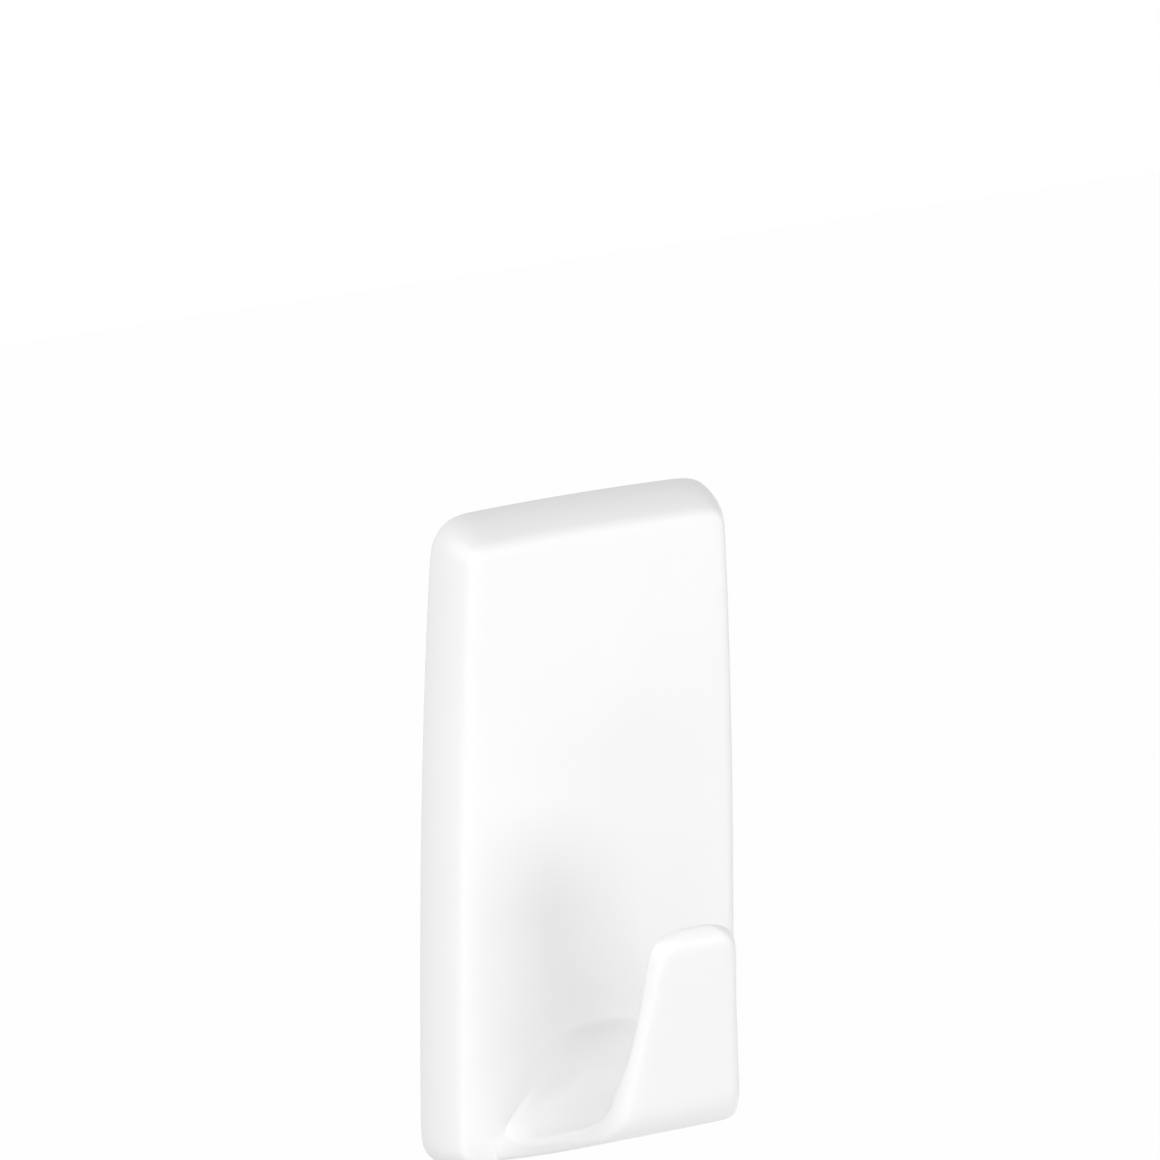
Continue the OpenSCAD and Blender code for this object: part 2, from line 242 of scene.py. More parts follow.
@dataclass
class HookShape:
    """The curved hook at the cover's foot: floor, bend and lip.

    Attributes:
        front: Distance of the cover's front from the wall.
        reach: How far the lip's top stands out from the front.
        lip_h: Height of the lip's top above the cover's foot.
        lip_width: Width of the lip's top.
        root_width: Width that the flare runs up to at the root.
        root_limit: Width at which the root stops growing wider.
        flare_power: Power of the flare from the lip to the root.
        thickness: Thickness of the floor.
        inner_edge_r: Radius of the lip's inner edges.
        outer_edge_r: Radius of the lip's outer edges.
        root_inner_r: Radius of the inner edges at the root.
        root_outer_r: Radius of the outer edges at the root.
        root_fall: How far the floor falls towards its sides at the root.
        lip_thin: How much thinner the lip's top is than the floor.
        rim_t: Thickness that is left at the sides of the hollow.
        lip_corner_r: Radius of the lip's two top corners.
        lip_end_run: Length over which the lip's front rounds off at the top.
        lip_end_drop: How far it has rounded off there.
        limit_blend: Softness of the change from the flare to the limit.
        bend_r: Radius of the bend's outer side, less the thickness.
        inner_bend_r: Radius of the bend's inner side.
        floor_h: Height of the underside at the cover's front.
        floor_rise: Slope of the floor in degrees.
        lip_lean: Lean of the lip in degrees.
        hollow_back: Distance of the hollow's back from the wall.
        hollow_r: Radius of the hollow between the cover and the floor.
        hollow_swell: Share of the width by which the sides of the hollow swell.
    """

    front: float
    reach: float = 20.2
    lip_h: float = 30.2
    lip_width: float = 9.75
    root_width: float = 26.4
    root_limit: float = 24.4
    flare_power: float = 1.95
    thickness: float = 2.8
    inner_edge_r: float = 0.3
    outer_edge_r: float = 1.25
    root_inner_r: float = 1.1
    root_outer_r: float = 1.3
    root_fall: float = 0.8
    lip_thin: float = 1.2
    rim_t: float = 1.3
    lip_corner_r: float = 3.2
    lip_end_run: float = 1.5
    lip_end_drop: float = 0.95
    limit_blend: float = 1.2
    bend_r: float = 3.6
    inner_bend_r: float = 7.0
    floor_h: float = 1.5
    floor_rise: float = 24.0
    lip_lean: float = 10.0
    hollow_back: float = 5.35
    hollow_r: float = 4.4
    hollow_swell: float = 0.1

    # Shares of the hollow's arc at which its cross-sections lie
    HOLLOW_SHARES = (0.12, 0.35, 0.6, 0.85)
    # Steps from cross-section to cross-section along the floor, the bend and the lip
    FLOOR_STEPS = 3
    BEND_STEPS = 5
    LIP_STEPS = 3
    # Shares of the lip's rounded end that are left at its cross-sections
    LIP_END_SHARES = (1.0, 0.55, 0.22, 0.0)

    def __post_init__(self) -> None:
        """Work out where the floor, the bend and the lip begin and end, as (w, v) points."""
        rise, lean = math.radians(self.floor_rise), math.radians(self.lip_lean)
        self.turn = 90 - self.lip_lean - self.floor_rise
        self.outer_r = self.bend_r + self.thickness
        top = self.front + self.reach
        drop = self.lip_h - self.floor_h + math.tan(rise) * self.front
        meet_w = (top - math.tan(lean) * drop) / (1 - math.tan(lean) * math.tan(rise))
        meet = Vector((meet_w, self.floor_h + math.tan(rise) * (meet_w - self.front)))
        run = self.outer_r * math.tan(math.radians(self.turn / 2))
        self.floor_dir = turned(self.floor_rise)
        self.lip_dir = turned(90 - self.lip_lean)
        self.floor_end = meet - run * self.floor_dir
        self.lip_start = meet + run * self.lip_dir
        self.bend_mid = self.floor_end + self.outer_r * turned(self.floor_rise + 90)
        spread = 1 / math.cos(math.radians(self.turn / 2))
        middle = turned(self.floor_rise - 90 + self.turn / 2)
        self.inner_mid = self.bend_mid + (self.bend_r - self.inner_bend_r) * spread * middle
        self.lip_l = (self.lip_h - self.lip_start.y) / math.cos(lean)
        mid_w = self.hollow_back + self.hollow_r
        mid_v = self.floor_h + math.tan(rise) * (mid_w - self.front)
        mid_v += (self.thickness + self.hollow_r) / math.cos(rise)
        self.hollow_mid = Vector((mid_w, mid_v))
        self.floor_start = self.hollow_mid + self.outer_reach * turned(self.floor_rise - 90)
        self.floor_l = (self.floor_end - self.floor_start).length
        self.floor_s = (self.floor_start.x - self.front) / math.cos(rise)
        self.bend_s = self.floor_s + self.floor_l
        self.lip_s = self.bend_s + self.outer_r * math.radians(self.turn)
        self.length = self.lip_s + self.lip_l

    @property
    def root_half(self) -> float:
        """Half width of the hook where it leaves the cover."""
        return self.root_limit / 2

    @property
    def outer_reach(self) -> float:
        """Distance from the middle of the hollow to the hook's underside."""
        return self.hollow_r + self.thickness

    def underside(self, w: float) -> float:
        """Height of the hook's underside at a distance from the wall."""
        return self.floor_h + math.tan(math.radians(self.floor_rise)) * (w - self.front)

    def flare(self, s: float) -> float:
        """Share of the flare that is left at a distance along the underside."""
        return (1 - min(max(0.0, s) / self.length, 1.0)) ** self.flare_power

    def drawn_in(self, s: float, radius: float) -> float:
        """How far an edge of the lip is drawn in near its rounded top."""
        past = min(max(0.0, s - self.length + radius), radius)
        return radius - math.sqrt(radius * radius - past * past)

    def station(self, s: float, outer: Vector, inner: Vector) -> Station:
        """A cross-section at a distance along the underside.

        Args:
            s: Distance along the underside from the cover's front.
            outer: Point of the underside, as (w, v).
            inner: Point of the upper side, as (w, v).

        Returns:
            The cross-section.
        """
        flare = self.flare(s)
        width = between(self.lip_width, self.root_width, flare)
        half = eased_min(width, self.root_limit, self.limit_blend) / 2
        half -= self.drawn_in(s, self.lip_corner_r)
        inward = (inner - outer).normalized()
        inner = inner - (self.lip_thin * (1 - flare) + self.drawn_in(s, self.inner_edge_r)) * inward
        past = max(0.0, 1 - (self.length - s) / self.lip_end_run)
        outer = outer + self.lip_end_drop * past * past * inward
        inner_r = between(self.inner_edge_r, self.root_inner_r, flare)
        outer_r = between(self.outer_edge_r, self.root_outer_r, flare)
        return Station(inner, outer, half, inner_r, outer_r, self.root_fall * flare)

    def hollow_station(self, share: float, root: Vector) -> Station:
        """A cross-section at a share of the hollow behind the floor.

        Args:
            share: Share of the hollow's arc, from the scoop's back to the floor.
            root: Point where the underside leaves the cover, as (w, v).

        Returns:
            The cross-section.
        """
        arc = between(180, 270 + self.floor_rise, share)
        outer = between(root, self.floor_start, share)
        s = (outer.x - self.front) / math.cos(math.radians(self.floor_rise))
        found = self.station(s, outer, self.hollow_mid + self.hollow_r * turned(arc))
        span = (found.outer - found.inner).length
        found.fall = between(span - self.rim_t, found.fall, share)
        found.half *= 1 + self.hollow_swell * share * share * (1 - share)
        found.open = share
        return found

    def stations(self, root: Vector) -> list[Station]:
        """All cross-sections, from the hollow to the lip's top.

        Args:
            root: Point where the underside leaves the cover, as (w, v).

        Returns:
            The cross-sections in order.
        """
        found = [self.hollow_station(share, root) for share in self.HOLLOW_SHARES]
        first = self.floor_start + self.thickness * turned(self.floor_rise + 90)
        last = self.inner_mid + self.inner_bend_r * turned(self.floor_rise - 90)
        for step in range(self.FLOOR_STEPS):
            share = step / self.FLOOR_STEPS
            outer = between(self.floor_start, self.floor_end, share)
            s = between(self.floor_s, self.bend_s, share)
            found.append(self.station(s, outer, between(first, last, share)))
        for step in range(self.BEND_STEPS + 1):
            share = step / self.BEND_STEPS
            way = turned(self.floor_rise - 90 + self.turn * share)
            outer = self.bend_mid + self.outer_r * way
            inner = self.inner_mid + self.inner_bend_r * way
            found.append(self.station(between(self.bend_s, self.lip_s, share), outer, inner))
        lip_end = self.lip_start + self.lip_l * self.lip_dir
        first, last = found[-1].inner, lip_end + self.thickness * turned(180 - self.lip_lean)
        straight = 1 - self.lip_corner_r / self.lip_l
        shares = [straight * step / self.LIP_STEPS for step in range(1, self.LIP_STEPS)]
        shares += [1 - share * (1 - straight) for share in self.LIP_END_SHARES]
        for share in shares:
            outer = between(self.lip_start, lip_end, share)
            s = between(self.lip_s, self.length, share)
            found.append(self.station(s, outer, between(first, last, share)))
        return found


@dataclass
class ArchShape:
    """The arch-shaped edge of the scoop in the cover's front.

    Attributes:
        height: Height of the arch's top.
        foot: Height at which the arch is as wide as it gets.
        half: Half width there.
        power: Power of the arch's curve.
        depth: Depth of the scoop's pocket behind the front.
        crest: How far the crest lies outside the arch.
        support: How far the next loop lies outside the crest.
        leg_foot: Half width of the legs at the underside.
        shoulder: How far the hook stands out of the front beside the pocket.
    """

    height: float = 14.1
    foot: float = 2.9
    half: float = 12.0
    power: float = 3.0
    depth: float = 1.1
    crest: float = 0.5
    support: float = 0.8
    leg_foot: float = 12.2
    shoulder: float = 0.12

    # Level of the hook's cross-section on the arch's top; the levels below it go down the legs
    TOP_LEVEL = 3
    # Places across at which the lengthwise loops meet the arch, from the left shoulder inwards
    LOOP_PLACES = (-9.0, -7.1, -4.4, -2.1, 0.0)
    # Shares of the scoop's depth at these places
    LOOP_DEPTHS = (0.0, 0.0, 0.06, 0.75, 1.0)
    # Places across of the two levels down the left leg, and how far the leg stands out there
    LEG_PLACES = {2: -10.7, 1: -11.7}
    LEG_RISES = {2: 0.15, 1: 0.6}
    # Shares of the rounded edge's width at each level
    LEG_EDGES = {3: 1.0, 2: 0.45, 1: 0.26}
    # How far the crest stands out of the front
    CREST_RISE = 0.12
    # Places across between which the hollow's pocket runs out
    POCKET = (0.3, 4.6)
    # Rounded edge of the arch: offset inwards and share of the depth
    EDGE = ((-0.05, 0.06), (0.7, 0.35), (1.7, 0.85))

    def point(self, loop: int, level: int, inward: float) -> Vector:
        """A point of the arch, drawn inwards or outwards.

        Args:
            loop: Lengthwise loop, from 0 at the left edge to 8 at the right edge.
            level: 3 on the arch's top, 2 and 1 down its legs.
            inward: How far the point is drawn into the scoop.

        Returns:
            The point as (u, v).
        """
        last = len(self.LOOP_PLACES) - 1
        side = 1.0 if loop <= last else -1.0
        top = self.LOOP_PLACES[min(loop, 2 * last - loop)]
        place = top if level == self.TOP_LEVEL else self.LEG_PLACES[level]
        drop = (self.height - self.foot) * (abs(place) / self.half) ** self.power
        slope = self.power * drop / max(abs(place), MM)
        outward = Vector((-slope, 1.0)).normalized()
        at = Vector((place, self.height - drop)) - inward * outward
        return Vector((side * at.x, at.y))

    def level_w(self, loop: int, level: int, sink: float, share: float) -> float:
        """How far a point of the arch's edge stands out of the cover's front.

        Args:
            loop: Lengthwise loop of the hook.
            level: 3 on the arch's top, 2 and 1 down its legs.
            sink: Share of the scoop's depth.
            share: Share of the way from the crest to the hollow.

        Returns:
            The distance, negative where the point lies deeper than the front.
        """
        if level < self.TOP_LEVEL:
            return self.LEG_RISES[level] * share
        last = len(self.LOOP_DEPTHS) - 1
        sunk = self.depth * sink * self.LOOP_DEPTHS[min(loop, 2 * last - loop)]
        return self.CREST_RISE * (1 - share) - sunk


@dataclass
class CoverMoulding:
    """The white moulding that shows: plate, scoop and hook in one, hollow behind.

    Attributes:
        foot_z: Height of the foot in the frame, in metres.
        width: Width at the foot.
        rim: Distance of the back from the wall.
        top_width: Width at the top.
        height: Height of the plate.
        front: Distance of the front from the wall.
        wall_lean: How far the side walls lean in.
        wall_bulge: How far the side walls bulge out.
        edge_run: Width of the rounded front edge.
        edge_drop: Depth of the rounded front edge.
        corner_r: Radius of the plate's corners.
        top_crown: How far the top edge rises to its middle.
        side_power: Power of the taper from the foot to the top.
        front_taper: Share of the taper that the front has.
        wall: Thickness of the side walls.
        front_wall: Thickness of the front.
        root_w: Distance from the wall at which the hook's underside begins.
        root_step: How much further out the straight line of the underside begins.
        slide_clear: Clearance of the slide, within which places count as the same.
        overrun: How far a tool reaches past what it cuts or joins.
        hollow_foot: Height at which the deep hollow begins.
        passage_half: Half width of the passage at the foot.
        passage_w: Distance from the wall that the passage reaches.
        ledge_t: Thickness of the ledge that hangs on the base plate.
        lug_n: Number of lugs on each side.
        lug_l: Length of a lug.
        lug_inset: Distance of the end lugs from the base plate's ends.
        lug_chamfer: Chamfer at the ends of a lug.
        lug_step: Distance from the rim to the lugs' back.
        rail_half: Half the distance between the two rows of lugs.
        rail_t: Distance from the rim to the lugs' front.
        arch: Edge of the scoop.
    """

    foot_z: float
    width: float
    rim: float
    top_width: float = 30.6
    height: float = 66.8
    front: float = 6.45
    wall_lean: float = 1.5
    wall_bulge: float = 0.3
    edge_run: float = 1.2
    edge_drop: float = 0.9
    corner_r: float = 3.7
    top_crown: float = 0.2
    side_power: float = 2.9
    front_taper: float = 0.75
    wall: float = 1.6
    front_wall: float = 1.7
    root_w: float = 6.35
    root_step: float = 0.6
    slide_clear: float = 0.25
    overrun: float = 0.5
    hollow_foot: float = 15.8
    passage_half: float = 12.15
    passage_w: float = 3.85
    ledge_t: float = 1.8
    lug_n: int = 4
    lug_l: float = 8.0
    lug_inset: float = 2.4
    lug_chamfer: float = 0.6
    lug_step: float = 0.05
    rail_half: float = 10.45
    rail_t: float = 0.9
    arch: ArchShape = field(default_factory=ArchShape)

    # The front is a grid of faces; the hook grows out of the faces between these columns and rows
    COLUMNS = 16
    ROWS = 16
    ROOT_COLUMNS = (4, 12)
    ROOT_ROWS = ArchShape.TOP_LEVEL
    MARKS = ("column", "row")
    # Cells of the grid along each side of a rounded corner, and the turn of one cell at the foot
    CORNER_CELLS = 2
    CELL_TURN = 22.5
    # Directions of the middles of the two corners on the left
    FOOT_CORNER = 225.0
    HEAD_CORNER = 135.0
    # Share of a corner's radius at which the vertex inside the corner lies
    CORNER_PULL = 0.55
    # Places of the columns beside the arch, as shares of the way from the plate's side to its leg
    LEG_SHARES = (0.0, 0.25, 0.6)
    # Distances of columns from the plate's side, along the straight rows and below the top corner
    SIDE_GAPS = (0.0, 0.9, 2.4)
    HEAD_GAPS = (0.0, 0.6, 1.4)
    # How the rows above the arch fan out, and how the vertex beside its shoulder is placed
    FAN_ROWS = 3.2
    SHOULDER_DROP = 0.25
    SHOULDER_SUPPORT = 1.8
    # Heights of the rows at the plate's sides, from above the foot's corner to below the top's
    SIDE_HEIGHTS = (9.5, 11.5, 14.5, 19.0, 25.0, 31.0, 37.0, 43.0, 49.0, 55.0, 60.0)
    FIRST_SIDE_ROW = 3
    FIRST_STRAIGHT_ROW = 7
    # Rings round the plate, as shares of its rounded edge, the first at the front, and of its wall
    FACE_SHARE = 0.82
    EDGE_SHARES = (0.55, 0.28)
    WALL_SHARES = (1.0, 0.72, 0.4, 0.12, 0.0)
    # Insets of the two rings on the back, as shares of the wall and of the corner's radius
    BACK_EDGE = 0.25
    BACK_FILL = 0.8
    # Share of the way from the plate's outline to the hook's root for the vertices beside the root
    BESIDE_ROOT = 0.5
    SUBDIVISIONS = 2
    # Edges that turn by more than this angle stay sharp
    SMOOTH_ANGLE = 35.0

    def __post_init__(self) -> None:
        """Work out the hook and the levels that depend on the sizes."""
        self.edge_w = self.front - self.edge_drop
        self.hollow_w = self.front - self.front_wall
        self.face_inset, self.face_w = self.edge_point(self.FACE_SHARE)
        self.hook = HookShape(self.front, hollow_back=self.front - self.arch.depth)
        root_w = self.root_w + self.root_step
        self.root = Vector((root_w, self.wall_line(root_w)))

    def place(self, u: float, v: float, w: float) -> Vector:
        """Turn a point of the hanging hook into the frame's metres."""
        return Vector((u * MM, -w * MM, self.foot_z + v * MM))

    def taper(self, inset: float) -> float:
        """Side taper of the outline at an inset."""
        share = inset / (self.wall_lean + self.edge_run)
        return (self.width - self.top_width) / 2 * between(1.0, self.front_taper, share)

    def half_at(self, v: float, inset: float) -> float:
        """Half width of the back edge at a height, with the taper of an inset."""
        return self.width / 2 - self.taper(inset) * (v / self.height) ** self.side_power

    def side_turn(self, v: float, inset: float) -> float:
        """How far the side's normal turns up at a height, in degrees."""
        rise = (v / self.height) ** (self.side_power - 1) / self.height
        return math.degrees(math.atan(self.taper(inset) * self.side_power * rise))

    def wall_line(self, w: float) -> float:
        """How far the straight wall has leaned in at a distance from the wall."""
        return self.wall_lean * (w - self.rim) / (self.edge_w - self.rim)

    def edge_point(self, share: float) -> Vector:
        """A point of the rounded edge, from the wall at 0 to the front at 1, as (inset, w)."""
        slope = (self.wall_lean + math.pi * self.wall_bulge) / (self.edge_w - self.rim)
        first = Vector((self.wall_lean, self.edge_w))
        meet = Vector((self.wall_lean + slope * self.edge_drop, self.front))
        last = Vector((self.wall_lean + self.edge_run, self.front))
        return between(between(first, meet, share), between(meet, last, share), share)

    def corner(self, top: bool, inset: float) -> Vector:
        """Centre of the left corner's arc at the top or the foot, as (u, v)."""
        v = self.height - self.corner_r if top else self.corner_r
        return Vector((self.corner_r - self.half_at(v, inset), v))

    def rim_point(self, column: int, row: int, inset: float) -> Vector:
        """A point of the plate's outline for an edge vertex of the front's grid.

        Args:
            column: The vertex's column.
            row: The vertex's row.
            inset: How far the outline is drawn in.

        Returns:
            The point as (u, v).
        """
        if column > self.COLUMNS // 2:
            at = self.rim_point(self.COLUMNS - column, row, inset)
            return Vector((-at.x, at.y))
        cells = self.CORNER_CELLS
        radius = self.corner_r - inset
        foot, head = self.corner(False, inset), self.corner(True, inset)
        if column == 0 and row <= cells:
            return foot + radius * turned(self.FOOT_CORNER - self.CELL_TURN * row)
        if row == 0 and column <= cells:
            return foot + radius * turned(self.FOOT_CORNER + self.CELL_TURN * column)
        if row == 0:
            return Vector((self.root_place(column), inset))
        level = row - (self.ROWS - cells)
        if column == 0 and level < 0:
            v = self.SIDE_HEIGHTS[row - self.FIRST_SIDE_ROW]
            side = Vector((self.corner_r - self.half_at(v, inset), v))
            return side + radius * turned(180 - self.side_turn(v, inset))
        if column <= cells:
            start = 180 - self.side_turn(head.y, inset)
            return head + radius * turned(between(start, 90, (level + column) / (2 * cells)))
        u = head.x * (1 - (column - cells) / (self.COLUMNS // 2 - cells))
        return Vector((u, head.y + radius + self.top_crown * (1 - (u / head.x) ** 2)))

    def root_place(self, column: int) -> float:
        """Place across of a column at the foot of the plate, from the leg to the middle."""
        if column < self.ROOT_COLUMNS[0]:
            return (self.corner(False, 0).x + self.root_place(self.ROOT_COLUMNS[0])) / 2
        return self.edge_ring_point(column - self.ROOT_COLUMNS[0], 0, 0.0, 0.0, 0.0)[0]

    def first_station(self) -> Station:
        """The cross-section next to the plate."""
        return self.hook.hollow_station(self.hook.HOLLOW_SHARES[0], self.root)

    def edge_ring_point(
        self, loop: int, level: int, inward: float, sink: float, share: float
    ) -> Point:
        """A point of a ring round the scoop's rounded edge.

        Args:
            loop: Lengthwise loop of the hook.
            level: Level of the hook's cross-section.
            inward: How far the ring is drawn into the scoop.
            sink: Share of the scoop's depth.
            share: Share of the way out along the underside to the first cross-section.

        Returns:
            The point as (u, v, w).
        """
        last = len(Station.FLAT_SHARES) + 1
        if level == 0:
            u, v, w = self.first_station().point(loop, 0)
            leg_u = u * self.arch.leg_foot / self.hook.root_half
            start = Vector((self.root_w, self.wall_line(self.root_w), leg_u))
            at = between(start, Vector((w, v, u)), share)
            return at.z, at.y, at.x
        top = self.arch.TOP_LEVEL
        if level < top and loop not in (0, last):
            low = Vector(self.edge_ring_point(loop, 0, inward, sink, share))
            high = Vector(self.edge_ring_point(loop, top, inward, sink, share))
            return tuple(between(low, high, level / top))
        inward *= self.arch.LEG_EDGES[level] if inward > 0 else 1.0
        at = self.arch.point(loop, level, inward)
        return at.x, at.y, self.front + self.arch.level_w(loop, level, sink, share)

    def raised(self, u: float, v: float, w: float) -> Point:
        """A point of the hook, brought forward out of the scoop's hollow beside its pocket."""
        low, high = self.arch.POCKET
        share = min(max((abs(u) - low) / (high - low), 0.0), 1.0)
        lift = max(0.0, self.front + self.arch.shoulder - w)
        return u, v, w + lift * share * share * (3 - 2 * share)

    def face_point(self, column: int, row: int) -> Point:
        """Where a vertex of the front's grid lies.

        Args:
            column: The vertex's column.
            row: The vertex's row.

        Returns:
            The point as (u, v, w).
        """
        half = self.COLUMNS // 2
        if column > half:
            u, v, w = self.face_point(self.COLUMNS - column, row)
            return -u, v, w
        first = self.ROOT_COLUMNS[0]
        if column >= first and row <= self.ROOT_ROWS:
            return self.edge_ring_point(column - first, row, -self.arch.crest, 0.0, 0.0)
        if column == 0 or row == self.ROWS or (row == 0 and column < first - 1):
            at = self.rim_point(column, row, self.face_inset)
            return at.x, at.y, self.face_w
        at = self.face_place(column, row)
        return at.x, at.y, self.front

    def face_place(self, column: int, row: int) -> Vector:
        """Where a vertex inside the left half of the flat front lies.

        Args:
            column: The vertex's column.
            row: The vertex's row.

        Returns:
            The point as (u, v).
        """
        first, last = self.ROOT_COLUMNS[0], self.ROWS
        cells, top = self.CORNER_CELLS, self.arch.TOP_LEVEL
        inset = self.face_inset
        radius = self.corner_r - inset
        foot, head = self.corner(False, inset), self.corner(True, inset)
        support = self.arch.crest + self.arch.support
        if row <= cells and column <= cells:
            if (column, row) == (1, 1):
                return foot + self.CORNER_PULL * radius * turned(self.FOOT_CORNER)
            return foot - radius / cells * Vector((cells - column, cells - row))
        if column == first - 1 and row <= self.ROOT_ROWS:
            if row == 0:
                low = Vector(self.edge_ring_point(0, 0, 0.0, 0.0, 0.0)[:2])
                return (low + self.rim_point(cells, 0, inset)) / 2
            if row == self.ROOT_ROWS:
                corner = self.arch.point(0, top, -support)
                return between(corner, self.arch.point(0, top - 1, -support), self.SHOULDER_DROP)
            return self.arch.point(0, row, -support)
        if row == self.ROOT_ROWS + 1 and column >= first - 1:
            if column == first - 1:
                return self.arch.point(0, top, -self.SHOULDER_SUPPORT * support)
            return self.arch.point(column - first, top, -support)
        if row < self.FIRST_STRAIGHT_ROW and column < first - 1:
            side = self.rim_point(0, row, inset)
            return between(side, self.face_place(first - 1, row), self.LEG_SHARES[column])
        if row < self.FIRST_STRAIGHT_ROW:
            low = self.face_place(column, self.ROOT_ROWS + 1)
            high = self.face_place(column, self.FIRST_STRAIGHT_ROW)
            return between(low, high, (row - self.ROOT_ROWS - 1) / self.FAN_ROWS)
        level = row - (last - cells)
        if level >= 0:
            if (column, level) == (1, 1):
                return head + self.CORNER_PULL * radius * turned(self.HEAD_CORNER)
            if column <= cells:
                return head + radius / cells * Vector((column - cells, level))
            return Vector((self.rim_point(column, last, inset).x, head.y + radius / cells * level))
        side = self.rim_point(0, row, inset)
        gaps = self.SIDE_GAPS if level < -1 else self.HEAD_GAPS
        if column <= cells:
            return Vector((side.x + gaps[column], side.y))
        u = (side.x + gaps[cells]) * (1 - (column - cells) / (self.COLUMNS // 2 - cells))
        return Vector((u, self.SIDE_HEIGHTS[row - self.FIRST_SIDE_ROW]))

    def wall_point(self, column: int, row: int, inset: float, w: float) -> Point:
        """Where a vertex of a ring round the plate lies.

        Args:
            column: Column of the front's edge vertex that the ring grew from.
            row: Row of that vertex.
            inset: How far the ring is drawn in.
            w: The ring's distance from the wall.

        Returns:
            The point as (u, v, w).
        """
        at = self.rim_point(column, row, inset)
        beside = min(column, self.COLUMNS - column) - self.ROOT_COLUMNS[0]
        if row == 0 and beside >= -1:
            at.y = between(inset, self.wall_line(w), 1.0 if beside >= 0 else self.BESIDE_ROOT)
        return at.x, at.y, w

    def rings(self) -> list[tuple[float, float]]:
        """Insets and distances from the wall of the rings round the plate, from front to back."""
        found = [tuple(self.edge_point(share)) for share in self.EDGE_SHARES]
        for share in self.WALL_SHARES:
            bulge = self.wall_bulge * math.sin(math.pi * share)
            found.append((self.wall_lean * share - bulge, between(self.rim, self.edge_w, share)))
        insets = (self.wall * self.BACK_EDGE, self.corner_r * self.BACK_FILL)
        return found + [(inset, self.rim) for inset in insets]

    def outside(self) -> bpy.types.Object:
        """Model the cover's closed outside from a grid, by extruding the hook and then the walls.

        Returns:
            The mesh object.
        """
        bpy.ops.object.select_all(action="DESELECT")
        bpy.ops.mesh.primitive_grid_add(
            x_subdivisions=self.COLUMNS, y_subdivisions=self.ROWS, size=2
        )
        cover = bpy.context.object
        cover.name = cover.data.name = "cover_moulding"
        places = [((vertex.co.x + 1) / 2, (vertex.co.y + 1) / 2) for vertex in cover.data.vertices]
        self.mark(cover, [(round(x * self.COLUMNS), round(y * self.ROWS)) for x, y in places])
        self.settle(cover, self.face_point, everything=True)
        self.grow_hook(cover)
        self.grow_walls(cover)
        apply_modifier(cover, "SUBSURF", levels=self.SUBDIVISIONS, render_levels=self.SUBDIVISIONS)
        return cover

    def mark(self, thing: bpy.types.Object, places: list[tuple[int, int]]) -> None:
        """Note on each vertex of a mesh which column and row of the front's grid it belongs to.

        Args:
            thing: The mesh object.
            places: Column and row of each vertex in turn.
        """
        for name, values in zip(self.MARKS, zip(*places)):
            thing.data.attributes.new(name, "INT", "POINT").data.foreach_set("value", values)

    def marks(self, thing: bpy.types.Object) -> list[tuple[int, int]]:
        """Column and row of each vertex of a marked mesh."""
        columns, rows = (thing.data.attributes[name].data for name in self.MARKS)
        return [(column.value, row.value) for column, row in zip(columns, rows)]

    def settle(
        self,
        cover: bpy.types.Object,
        where: Callable[[int, int], Point],
        everything: bool = False,
    ) -> None:
        """Move the selected vertices to where their column and row belong.

        Args:
            cover: The mesh object.
            where: Gives the place of a column and a row as (u, v, w).
            everything: Whether vertices that aren't selected move too.
        """
        for vertex, mark in zip(cover.data.vertices, self.marks(cover)):
            if everything or vertex.select:
                vertex.co = self.place(*where(*mark))

    def grow_hook(self, cover: bpy.types.Object) -> None:
        """Extrude the root's faces along the scoop's edge, the hollow, the floor and the lip.

        Args:
            cover: The mesh object.
        """
        first, last = self.ROOT_COLUMNS
        clear_selection(cover, Select.FACES)
        marks = self.marks(cover)
        for face in cover.data.polygons:
            corners = [marks[index] for index in face.vertices]
            face.select = all(first <= c <= last and r <= self.ROOT_ROWS for c, r in corners)
        steps = len(self.arch.EDGE) + 1
        edges = [(*edge, step / steps) for step, edge in enumerate(self.arch.EDGE, 1)]
        places = [
            lambda c, r, edge=edge: self.edge_ring_point(c - first, r, *edge) for edge in edges
        ]
        places += [
            lambda c, r, station=station: self.raised(*station.point(c - first, r))
            for station in self.hook.stations(self.root)
        ]
        for where in places:
            with edit_mode(cover):
                bpy.ops.mesh.extrude_region_move()
            self.settle(cover, where)

    def grow_walls(self, cover: bpy.types.Object) -> None:
        """Extrude the front's edge back round the plate, and close its back.

        Args:
            cover: The mesh object.
        """
        clear_selection(cover, Select.EDGES)
        with edit_mode(cover):
            bpy.ops.mesh.select_non_manifold(
                extend=False,
                use_wire=False,
                use_multi_face=False,
                use_non_contiguous=False,
                use_verts=False,
            )
        for inset, w in self.rings():
            with edit_mode(cover):
                bpy.ops.mesh.extrude_edges_move()
            self.settle(cover, lambda c, r, inset=inset, w=w: self.wall_point(c, r, inset, w))
        with edit_mode(cover):
            bpy.ops.mesh.edge_face_add()
            face_outwards()

